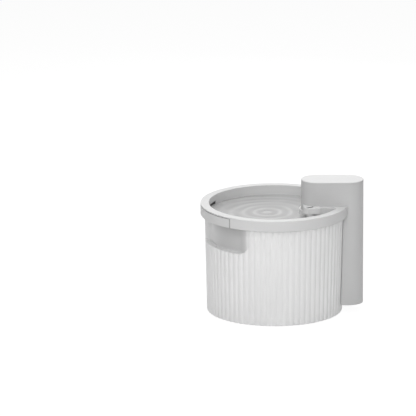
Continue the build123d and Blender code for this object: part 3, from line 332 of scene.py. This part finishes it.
moulded(
    "dark_plastic", 62, (1.0, 1.0, 1.02), gloss=0.48, grain=1100.0, grain_depth=0.03, spread=0.08
)
moulded("strainer_plastic", 88, gloss=0.5, spread=0.06)
moulded("ceramic", 232, (1.0, 0.985, 0.94), gloss=0.24, grain=3000.0, grain_depth=0.004)
moulded("chip", 38, gloss=0.42, grain=2600.0, grain_depth=0.02, spread=0.1)
pipe = moulded(
    "pipe_silicone",
    222,
    (0.98, 1.0, 1.0),
    gloss=0.34,
    grain=500.0,
    grain_depth=0.03,
    spread=0.03,
)
pipe.set(Transmission_Weight=0.35)
lens = moulded("lens", 150, (0.86, 0.96, 1.0), gloss=0.12, grain=300.0, grain_depth=0.01)
lens.set(Transmission_Weight=0.3)
rubber("cap_seal_rubber", 206)
rubber("rubber_foot", 128)
rubber("seal_rubber", 92, (1.0, 0.99, 0.97))
rubber("button_rubber", 226)
fibrous("cotton", 240, (1.0, 1.0, 0.99), scale=900.0, depth=0.6, holes=0.15, dark=0.72)
fibrous("sponge", 74, (1.0, 1.02, 1.06), scale=620.0, depth=1.2, holes=0.25, dark=0.25)
granular("carbon", low=26, high=66, scale=700.0, depth=0.8)
metal("steel", 205, (1.0, 0.99, 0.97), rough=0.24, stretch=(1.0, 8.0, 1.0))
metal("port_metal", 190, (1.0, 0.99, 0.96), rough=0.30, stretch=(8.0, 1.0, 1.0))
metal("motor_can", 176, (1.0, 0.99, 0.97), rough=0.34, stretch=(0.1, 4.0, 4.0))
metal("magnet", 120, (1.0, 1.0, 1.03), rough=0.42, stretch=(0.2, 3.0, 3.0), depth=0.02)

# the cells' dark green shrink wrap, with creases that run along Z
wrap_dark = (0.035, 0.085, 0.075)
wrap_light = (0.045, 0.105, 0.092)
wrap = Maker("cell_wrap")
wrap.set(
    Base_Color=wrap.ramp(wrap.noise(30.0), (NOISE_LOW, wrap_dark), (NOISE_HIGH, wrap_light)),
    Roughness=wrap.range(wrap.noise(90.0, detail=2.0), 0.26, 0.36),
    Coat_Weight=0.3,
)
creases = wrap.noise(140.0, detail=4.0, roughness=0.6, stretch=(1.0, 1.0, 0.25))
wrap.bump(creases, 0.12)

# the circuit board: a pattern of fields between tracks, turned to face the board's sides
board = Maker("circuit_board")
tracks = board.add(
    "ShaderNodeTexBrick",
    Scale=260.0,
    Mortar_Size=0.07,
    Mortar_Smooth=0.1,
    Color1=(0.012, 0.085, 0.038, 1.0),
    Color2=(0.014, 0.098, 0.044, 1.0),
    Mortar=(0.035, 0.165, 0.075, 1.0),
)
board.link(board.mapped(Rotation=(math.pi / 2, 0.0, 0.0)), tracks.inputs["Vector"])
board.set(
    Base_Color=tracks.outputs["Color"], Roughness=board.range(board.noise(80.0), 0.30, 0.42)
)
board.bump(tracks.outputs["Fac"], 0.035)

# painted light and shade: pale rings and dark troughs are put into the water's colour along its
# ripples, and fade with distance (in metres)
ripple_centre = (-0.013, -0.004)
ripple_length = 0.019
ring_reach = 0.085
ring_left = 0.25
ring_waver = 0.004
waver_scale = 12.0
ring_painted_shade = 0.56
water_plain = 0.66
ring_painted_light = 0.88
water_make = Maker("water")
waver = water_make.range(water_make.noise(waver_scale, detail=0.0), -ring_waver, ring_waver)
away = water_make.math("ADD", water_make.from_axis(ripple_centre), waver)
ring_wave = water_make.math("SINE", water_make.math("MULTIPLY", away, 2 * math.pi / ripple_length))
ring_fade = water_make.range(away, 1.0, ring_left, 0.0, ring_reach)
faded = water_make.math("MULTIPLY", ring_wave, ring_fade)
# the base colour carries the painted rings of light and shade
water_make.set(
    Base_Color=water_make.ramp(
        water_make.math("MULTIPLY_ADD", faded, 0.5, 0.5),
        (0.0, ring_painted_shade),
        (0.55, water_plain),
        (1.0, ring_painted_light),
    ),
    Roughness=0.06,
    IOR=1.33,
    Alpha=0.5,
)
water_make.bump(water_make.noise(70.0, detail=2.0, roughness=0.5), 0.25)

for node in nodes.values():
    for index, material in enumerate(node.data.materials):
        plain_name = material.name.split(".")[0]
        if plain_name in makers:
            node.data.materials[index] = makers[plain_name].material

# ---------------------------------------------------------------- camera
photo_elevation = math.radians(15.15)
photo_scale = 0.594  # pixels per millimetre
photo_side = 416  # pixels
aim = Vector((-0.1123, 0.0, 0.1759))
camera_distance = 16.0
sensor_width = 36.0
camera_data = bpy.data.cameras.new("camera")
camera = bpy.data.objects.new("camera", camera_data)
scene.collection.objects.link(camera)
scene.camera = camera
camera_data.sensor_width = sensor_width
camera_data.lens = sensor_width * camera_distance / (photo_side / photo_scale * MM)
camera_data.clip_end = 60.0
backward = Vector((0.0, -math.cos(photo_elevation), math.sin(photo_elevation)))
camera.location = aim + camera_distance * backward
camera.rotation_euler = (math.pi / 2 - photo_elevation, 0.0, 0.0)
scene.view_settings.view_transform = "Standard"


# ---------------------------------------------------------------- surroundings
def split_by_ray(tree, output, lit, shown):
    """Shades as shown on the rays by which the background is seen, and as lit on all others."""
    path = tree.nodes.new("ShaderNodeLightPath")
    seen = path.outputs["Is Camera Ray"]
    for kind in ("Is Glossy Ray", "Is Transmission Ray"):
        larger = tree.nodes.new("ShaderNodeMath")
        larger.operation = "MAXIMUM"
        tree.links.new(seen, larger.inputs[0])
        tree.links.new(path.outputs[kind], larger.inputs[1])
        seen = larger.outputs["Value"]
    mix = tree.nodes.new("ShaderNodeMixShader")
    tree.links.new(seen, mix.inputs["Fac"])
    tree.links.new(lit.outputs[0], mix.inputs[1])
    tree.links.new(shown.outputs[0], mix.inputs[2])
    tree.links.new(mix.outputs["Shader"], output.inputs["Surface"])


ambient_strength = 0.08
world = bpy.data.worlds.new("studio")
scene.world = world
world.use_nodes = True
world_nodes = world.node_tree.nodes
world_nodes.clear()
ambient = world_nodes.new("ShaderNodeBackground")
plain = world_nodes.new("ShaderNodeBackground")
for background, strength in ((ambient, ambient_strength), (plain, 1.0)):
    background.inputs["Color"].default_value = (*WHITE, 1.0)
    background.inputs["Strength"].default_value = strength
world_output = world_nodes.new("ShaderNodeOutputWorld")
split_by_ray(world.node_tree, world_output, ambient, plain)

# the floor shows white, with the object's faint shadow on it
floor_radius = 10.0
floor_glow = 0.93
floor_shadow = 0.14
floor_dark = grey(236)
floor_light = grey(240)
floor_make = Maker("floor")
floor_drift = floor_make.noise(3.0)
floor_make.set(
    Base_Color=floor_make.ramp(floor_drift, (NOISE_LOW, floor_dark), (NOISE_HIGH, floor_light)),
    Roughness=0.8,
    Specular_IOR_Level=0.2,
)
glow = floor_make.add("ShaderNodeEmission", Strength=floor_glow)
faint = floor_make.add("ShaderNodeBsdfDiffuse", Color=(*(3 * (floor_shadow,)), 1.0))
pale = floor_make.add("ShaderNodeAddShader")
floor_make.link(glow.outputs[0], pale.inputs[0])
floor_make.link(faint.outputs[0], pale.inputs[1])
split_by_ray(floor_make.tree, floor_make.output, floor_make.shader, pale)
disc = bmesh.new()
bmesh.ops.create_circle(disc, cap_ends=True, segments=96, radius=floor_radius)
floor_mesh = bpy.data.meshes.new("floor")
disc.to_mesh(floor_mesh)
disc.free()
floor_mesh.materials.append(floor_make.material)
floor = bpy.data.objects.new("floor", floor_mesh)
scene.collection.objects.link(floor)

# soft square lamps: place and what each points at, both in metres, width and power in watts
lamps = (
    ("overhead", (0.0, 0.0, 1.7), (0.0, 0.0, 0.1), 1.4, 13.0),
    ("high_left", (-1.2, -0.7, 1.3), (0.0, 0.0, 0.1), 1.0, 4.2),
    ("high_front", (0.0, -1.3, 1.3), (0.0, 0.0, 0.1), 1.0, 4.4),
    ("right", (1.6, -0.6, 0.5), (0.0, 0.0, 0.1), 0.8, 1.9),
    ("behind", (0.0, 1.2, 1.7), (0.0, 0.0, 0.1), 0.7, 11.0),
    ("rear", (0.3, 1.5, 0.6), (0.0, 0.0, 0.12), 0.5, 3.2),
    ("front", (-0.05, -1.5, 0.55), (0.0, 0.0, 0.12), 0.5, 4.6),
    ("near_front", (-0.03, -0.45, 0.36), (-0.02, -0.1, 0.13), 0.25, 0.2),
)
# the low lamps would glare off the water at a camera opposite them, so gloss doesn't show them
matt_lamps = ("front", "near_front", "rear")
for name, place, target, width, power in lamps:
    lamp_data = bpy.data.lights.new(name, "AREA")
    lamp_data.shape = "SQUARE"
    lamp_data.size = width
    lamp_data.energy = power
    lamp = bpy.data.objects.new(name, lamp_data)
    scene.collection.objects.link(lamp)
    lamp.location = place
    lamp.rotation_euler = (Vector(target) - Vector(place)).to_track_quat("-Z", "Y").to_euler()
    lamp.visible_glossy = name not in matt_lamps


# ---------------------------------------------------------------- meshes
def smooth(share):
    """An S-curve from 0 to 1, level at both ends."""
    share = min(1.0, max(0.0, share))
    return share * share * share * (share * (share * 6 - 15) + 10)


def half_wave(share):
    """A cosine curve from 1 down to 0."""
    return 0.5 + 0.5 * math.cos(math.pi * share)


def build(name, vertices, faces, material):
    """A mesh object from vertices in millimetres."""
    mesh = bpy.data.meshes.new(name)
    mesh.from_pydata([tuple(MM * c for c in v) for v in vertices], [], faces)
    mesh.materials.append(material)
    piece = bpy.data.objects.new(name, mesh)
    scene.collection.objects.link(piece)
    return piece


def finish_mesh(piece, crease=32.0):
    """Outward normals, and smooth shading that breaks at edges sharper than crease degrees."""
    shape = bmesh.new()
    shape.from_mesh(piece.data)
    bmesh.ops.recalc_face_normals(shape, faces=shape.faces)
    for face in shape.faces:
        face.smooth = True
    limit = math.radians(crease)
    for edge in shape.edges:
        edge.smooth = len(edge.link_faces) == 2 and edge.calc_face_angle(0.0) < limit
    shape.to_mesh(piece.data)
    shape.free()


def angles(count):
    """The angles that divide a full turn."""
    return [2 * math.pi * i / count for i in range(count)]


def ring_at(radius, z, count):
    """The vertices of a round ring about the Z axis."""
    return [(radius * math.cos(a), radius * math.sin(a), z) for a in angles(count)]


def band(first, second, count, flipped=False):
    """The faces between two rings of vertices, given each ring's first vertex.

    They face outward where the second ring is above the first, or flipped, where it is below.
    """
    faces = []
    for i in range(count):
        j = (i + 1) % count
        if flipped:
            faces.append((first + i, second + i, second + j, first + j))
        else:
            faces.append((first + i, first + j, second + j, second + i))
    return faces


def prism(outline, low, high):
    """A closed prism on an outline given in millimetres."""
    count = len(outline)
    vertices = [(x, y, z) for z in (low, high) for x, y in outline]
    caps = [tuple(range(count))[::-1], tuple(range(count, 2 * count))]
    return vertices, caps + band(0, count, count)


def turned(profile, count):
    """A closed solid turned about Z from a profile of (radius, z), lowest first."""
    vertices = [(0.0, 0.0, profile[0][1])]
    for radius, z in profile:
        vertices += ring_at(radius, z, count)
    vertices.append((0.0, 0.0, profile[-1][1]))
    faces = [(0, 1 + (i + 1) % count, 1 + i) for i in range(count)]
    for row in range(len(profile) - 1):
        faces += band(1 + row * count, 1 + (row + 1) * count, count)
    top, last = len(vertices) - 1, 1 + (len(profile) - 1) * count
    faces += [(last + i, last + (i + 1) % count, top) for i in range(count)]
    return vertices, faces


def cut(piece, *parts):
    """Takes closed shapes that don't touch each other away from a piece."""
    vertices, faces = [], []
    for part_vertices, part_faces in parts:
        start = len(vertices)
        vertices += part_vertices
        faces += [tuple(start + i for i in face) for face in part_faces]
    tool = build("cutter", vertices, faces, tank_make.material)
    modifier = piece.modifiers.new("cut", "BOOLEAN")
    modifier.operation = "DIFFERENCE"
    modifier.solver = "EXACT"
    modifier.object = tool
    graph = bpy.context.evaluated_depsgraph_get()
    result = bpy.data.meshes.new_from_object(piece.evaluated_get(graph))
    piece.modifiers.clear()
    old = piece.data
    piece.data = result
    bpy.data.meshes.remove(old)
    bpy.data.objects.remove(tool)


def arc(x, y, radius, degrees):
    """The points of an arc about (x, y), at these degrees."""
    turns = [math.radians(d) for d in degrees]
    return [(x + radius * math.cos(t), y + radius * math.sin(t)) for t in turns]


# ---------------------------------------------------------------- tank, in millimetres
tank_bottom = 1.0
tank_top = 184.0
base_radius = 113.8
draft = math.radians(1.44)
wall = 2.5
floor_top = 4.0
floor_corner = 3.0
floor_bevel = 0.9
foot_edge = 0.8
foot_edge_steps = 3
lip_edge = 0.4
flutes = 72
flute_columns = 12
flute_depth = 1.5
flute_sharpness = 2.0
flute_phase = math.radians(2.0)
flute_fade = 1.5
grip_middle = math.radians(213.6)
grip_floor_radius = 109.0
grip_flat = math.radians(23.0)
grip_soft = math.radians(12.0)
grip_low = 122.2
grip_lip = 1.5
grip_corner = 14.0
bowl_room = 113.4
bowl_room_bottom = 160.8
bowl_room_corner = 8.4
bowl_room_sides = 288
foot_circle = 88.0
foot_radius = 9.1
foot_pocket = 2.5
foot_sides = 96
past_tank = 5.0
columns = flutes * flute_columns
# heights of the wall's rings, each with how many steps lead up or down to it
outer_stops = (
    (4.0, 0),
    (60.0, 3),
    (120.0, 4),
    (126.0, 16),
    (140.0, 12),
    (160.0, 4),
    (tank_top - lip_edge, 4),
)
inner_stops = (
    (tank_top - lip_edge, 0),
    (160.0, 3),
    (136.0, 4),
    (123.0, 8),
    (117.0, 14),
    (floor_top + floor_corner, 5),
)


def crest_radius(z):
    return base_radius + (z - tank_bottom) * math.tan(draft)


def grip_share(angle, z, growth):
    """How far the recess is carved: 0 on the tank's round, 1 on the recess's floor."""
    side = (angle - grip_middle + math.pi) % (2 * math.pi) - math.pi
    turn = abs(side)
    crest = crest_radius(z)
    across = min(1.0, max(0.0, (turn - grip_flat) * crest - growth) / (grip_soft * crest))
    low = grip_low - growth + (grip_corner * across**2 if side > 0 else 0.0)
    down = min(1.0, max(0.0, low + grip_lip - z) / grip_lip)
    return half_wave(across) * half_wave(down)


def outer_radius(angle, z):
    crest = crest_radius(z)
    carved = (crest - grip_floor_radius) * grip_share(angle, z, 0.0)
    phase = (angle - flute_phase) * flutes
    groove = flute_depth * (0.5 + 0.5 * math.cos(phase)) ** flute_sharpness
    return crest - carved - groove * (1.0 - smooth(carved / flute_fade))


def inner_radius(angle, z):
    crest = crest_radius(z)
    return crest - wall - (crest - grip_floor_radius) * grip_share(angle, z, wall)


def heights(stops):
    """The heights of the rings that lead from stop to stop."""
    steps = [stops[0][0]]
    for (low, _), (high, count) in zip(stops, stops[1:]):
        steps += [low + (high - low) * (i + 1) / count for i in range(count)]
    return steps


def wall_ring(radius_at, z, outward=0.0, rise=0.0):
    """One ring of the wall, as it is at z, but moved outward and up."""
    ring = []
    for angle in angles(columns):
        radius = radius_at(angle, z) + outward
        ring.append((radius * math.cos(angle), radius * math.sin(angle), z + rise))
    return ring


rings = [wall_ring(outer_radius, tank_bottom, -foot_edge)]
for step in range(1, foot_edge_steps + 1):
    turn = math.radians(90.0 / foot_edge_steps * step)
    height = tank_bottom + foot_edge * (1 - math.cos(turn))
    rings.append(wall_ring(outer_radius, height, -foot_edge * (1 - math.sin(turn))))
rings += [wall_ring(outer_radius, height) for height in heights(outer_stops)]
rings.append(wall_ring(outer_radius, tank_top, -lip_edge))
rings.append(wall_ring(inner_radius, tank_top, lip_edge))
rings += [wall_ring(inner_radius, height) for height in heights(inner_stops)]
rings.append(wall_ring(inner_radius, floor_top, -floor_bevel, floor_bevel))
rings.append(wall_ring(inner_radius, floor_top, -floor_corner))
vertices = [vertex for ring in rings for vertex in ring]
last_ring = (len(rings) - 1) * columns
faces = []
for start in range(0, last_ring, columns):
    faces += band(start, start + columns, columns)
faces.append(tuple(range(columns))[::-1])
faces.append(tuple(range(last_ring, len(vertices))))
tank = build("tank_body", vertices, faces, tank_make.material)

# the feet's pockets, and the room for the tray's bowl, are cut out as in the CAD
feet = [(0.0, 0.0)] + arc(0.0, 0.0, foot_circle, (45.0, 135.0, 225.0, 315.0))
bowl_profile = [
    (
        bowl_room - bowl_room_corner * (1 - math.sin(turn)),
        bowl_room_bottom + bowl_room_corner * (1 - math.cos(turn)),
    )
    for turn in (math.radians(15.0 * i) for i in range(7))
]
bowl_profile.append((bowl_room, tank_top + past_tank))
pockets = []
for x, y in feet:
    outline = [
        (x + foot_radius * math.cos(a), y + foot_radius * math.sin(a)) for a in angles(foot_sides)
    ]
    pockets.append(prism(outline, tank_bottom - past_tank, foot_pocket))
cut(tank, *pockets, turned(bowl_profile, bowl_room_sides))

# how much painted shade each place in the recess gets: least at its left end, where more light
# reaches, and at the ledge below it
tone_from = math.radians(188.0)
tone_to = math.radians(226.0)
tone_least = 0.35
tone_power = 0.5
ledge_tone = 0.25
ledge_reach = 7.0
recess_shade_layer = tank.data.attributes.new("recess", "FLOAT", "POINT")
for vertex, value in zip(tank.data.vertices, recess_shade_layer.data):
    x, y, z = (c / MM for c in vertex.co)
    angle = math.atan2(y, x) % (2 * math.pi)
    outside = math.hypot(x, y) > inner_radius(angle, z) + wall / 2
    tone = tone_least + (1 - tone_least) * smooth((angle - tone_from) / (tone_to - tone_from))
    tone *= ledge_tone + (1 - ledge_tone) * smooth((z - grip_low) / ledge_reach)
    value.value = tone * grip_share(angle, z, 0.0) ** tone_power if outside else 0.0
finish_mesh(tank)
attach(tank, "tank")
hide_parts("tank")

# ---------------------------------------------------------------- water in the bowl, in millimetres
water_level = 169.5
water_radius = 110.9
water_rings = 110
water_turns = 180
# how far in from the edge, and how high, each ring of the underside is
water_underside = ((0.0, 169.0), (1.8, 165.3), (6.0, 163.55))
ripple_height = 0.32
ripple_fade = 80.0
swell_height = 0.22
swell_across = 13.0
swell_along = 15.0
swell_bend = 1.3
swell_bend_length = 21.0
swell_phase = 0.6


def water_height(x, y):
    """The height of the surface: rings of ripples on a slight swell."""
    away = math.hypot(x - ripple_centre[0] / MM, y - ripple_centre[1] / MM)
    wave = math.sin(2 * math.pi * away * MM / ripple_length)
    ripple = ripple_height * wave * math.exp(-away / ripple_fade)
    bend = swell_bend * math.sin(y / swell_bend_length)
    swell = swell_height * math.sin(x / swell_across + bend)
    return water_level + ripple + swell * math.sin(y / swell_along + swell_phase)


vertices = [(0.0, 0.0, water_height(0.0, 0.0))]
for ring in range(1, water_rings + 1):
    flat = ring_at(water_radius * ring / water_rings, 0.0, water_turns)
    vertices += [(x, y, water_height(x, y)) for x, y, _ in flat]
faces = [(0, 1 + i, 1 + (i + 1) % water_turns) for i in range(water_turns)]
for ring in range(water_rings - 1):
    start = 1 + ring * water_turns
    faces += band(start, start + water_turns, water_turns, flipped=True)
last = len(vertices) - water_turns
for inset, height in water_underside:
    start = len(vertices)
    vertices += ring_at(water_radius - inset, height, water_turns)
    faces += band(last, start, water_turns, flipped=True)
    last = start
faces.append(tuple(range(last, len(vertices)))[::-1])
water = build("water", vertices, faces, water_make.material)

# the tower's collar and the ledge before it stand clear of the water
tower_x = 96.8
collar_half = 28.1
collar_length = 108.4
collar_straight = collar_length / 2 - collar_half
collar = arc(tower_x + collar_straight, 0.0, collar_half, range(-90, 91, 6))
collar += arc(tower_x - collar_straight, 0.0, collar_half, range(90, 271, 6))
ledge_low, ledge_high, ledge_half = 77.0, 120.0, 37.0
ledge = [
    (ledge_low, -ledge_half),
    (ledge_high, -ledge_half),
    (ledge_high, ledge_half),
    (ledge_low, ledge_half),
]
cut_bottom = 150.0
cut_height = 30.0
# the second cutter's ends are moved, so that no face of it lies in one of the first's planes
for outline, lift in ((collar, 0.0), (ledge, 1.0)):
    bottom = cut_bottom + lift
    cut(water, prism(outline, bottom, bottom + cut_height))
finish_mesh(water)
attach(water, "tray")
